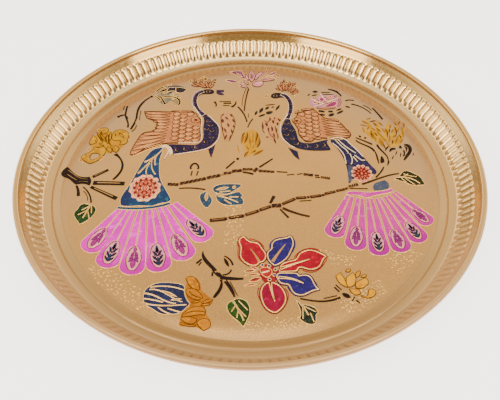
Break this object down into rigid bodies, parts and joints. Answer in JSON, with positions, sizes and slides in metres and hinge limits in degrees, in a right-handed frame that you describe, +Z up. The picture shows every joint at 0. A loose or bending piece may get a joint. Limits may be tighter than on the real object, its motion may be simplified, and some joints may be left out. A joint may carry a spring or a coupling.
{
  "type": "puja thali",
  "caption": "Round brass offering tray with a fluted wall, a rolled edge and an enamelled floor showing two facing peacocks among flowering branches.",
  "frame": {"origin": "centre of the foot ring's underside, on the surface it rests on", "axes": "+Z up; +Y towards the heads of the peacocks; +X to the right when the drawing is upright"},
  "size_m": [0.3, 0.3, 0.0193],
  "materials": {
    "brass": "polished",
    "steel_wire": "drawn",
    "violet_enamel": "gloss",
    "blue_enamel": "gloss",
    "slate_enamel": "gloss",
    "coral_enamel": "satin",
    "rust_enamel": "gloss",
    "brown_enamel": "gloss",
    "magenta_enamel": "gloss",
    "rose_enamel": "gloss",
    "pink_enamel": "gloss",
    "sea_enamel": "gloss",
    "lilac_enamel": "satin",
    "purple_enamel": "gloss",
    "blush_enamel": "satin",
    "indigo_enamel": "gloss",
    "navy_enamel": "gloss",
    "teal_enamel": "gloss",
    "yellow_enamel": "gloss",
    "orange_enamel": "gloss",
    "olive_enamel": "gloss",
    "green_enamel": "gloss",
    "red_enamel": "gloss",
    "crimson_enamel": "gloss"
  },
  "bodies": {
    "root": {"blue_leaves": "teal_enamel", "blue_petals": "indigo_enamel", "branch_twigs": "brown_enamel", "centre_bud": "orange_enamel", "centre_leaf": "olive_enamel", "crimson_petal": "crimson_enamel", "flower_heart": "red_enamel", "flower_stamens": "indigo_enamel", "left_flower": "yellow_enamel", "left_flower_shade": "orange_enamel", "left_leaf": "green_enamel", "left_peacock_beak": "lilac_enamel", "left_peacock_body": "violet_enamel", "left_peacock_breast_plume": "coral_enamel", "left_peacock_crest": "coral_enamel", "left_peacock_head_marks": "brown_enamel", "left_peacock_shawl": "blue_enamel", "left_peacock_shawl_flower": "coral_enamel", "left_peacock_tail": "magenta_enamel", "left_peacock_tail_eyes": "sea_enamel", "left_peacock_tail_hearts": "pink_enamel", "left_peacock_wing": "coral_enamel", "left_peacock_wing_edge": "rust_enamel", "left_stem": "brown_enamel", "left_trunk": "brown_enamel", "lower_branch": "brown_enamel", "lower_dark_leaf": "olive_enamel", "lower_green_leaf": "green_enamel", "lower_stems": "brown_enamel", "orange_leaves": "orange_enamel", "pink_flower": "crimson_enamel", "pink_flower_petals": "blush_enamel", "pink_flower_sepals": "slate_enamel", "red_petals": "red_enamel", "right_buds": "brown_enamel", "right_flower": "yellow_enamel", "right_leaf": "green_enamel", "right_peacock_body": "violet_enamel", "right_peacock_breast_plume": "coral_enamel", "right_peacock_crest": "coral_enamel", "right_peacock_head_marks": "brown_enamel", "right_peacock_shawl": "indigo_enamel", "right_peacock_shawl_flower": "coral_enamel", "right_peacock_shawl_panels": "slate_enamel", "right_peacock_tail": "rose_enamel", "right_peacock_tail_eyes": "sea_enamel", "right_peacock_tail_hearts": "pink_enamel", "right_peacock_wing": "coral_enamel", "right_peacock_wing_edge": "rust_enamel", "right_stem": "brown_enamel", "rim_wire": "steel_wire", "small_flower": "yellow_enamel", "striped_bud": "navy_enamel", "thali_plate": "brass", "top_flower": "purple_enamel", "top_flower_blush": "blush_enamel", "top_stem": "brown_enamel", "tulip_petal": "navy_enamel", "tulip_strokes": "olive_enamel", "upper_branch": "brown_enamel"}
  },
  "joints": []
}
